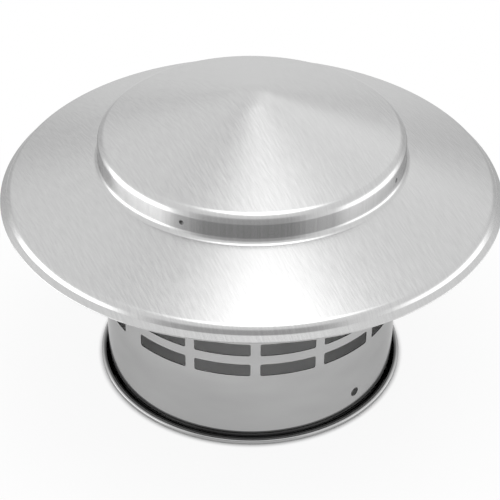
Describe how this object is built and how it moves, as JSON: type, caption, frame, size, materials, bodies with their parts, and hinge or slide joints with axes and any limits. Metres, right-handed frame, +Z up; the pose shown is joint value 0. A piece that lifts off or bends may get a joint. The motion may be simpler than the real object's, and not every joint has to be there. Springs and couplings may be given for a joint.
{
  "type": "chimney rain cap",
  "caption": "Stainless steel chimney rain cap: a stepped conical hood with a beaded brim over a slotted collar whose curled foot slips onto a flue pipe.",
  "frame": {"origin": "centre of the collar's foot, in the plane it stands on", "axes": "+Z up along the cap's axis, towards the tip of the hood; -Y is the front"},
  "size_m": [0.25, 0.25, 0.156],
  "materials": {
    "hood_steel": "pressed stainless sheet with a fine straight mill grain, semi-gloss",
    "collar_steel": "rolled stainless sheet, smooth satin mill finish"
  },
  "bodies": {
    "root": {"rain_hood": "hood_steel", "slotted_collar": "collar_steel"}
  },
  "joints": []
}
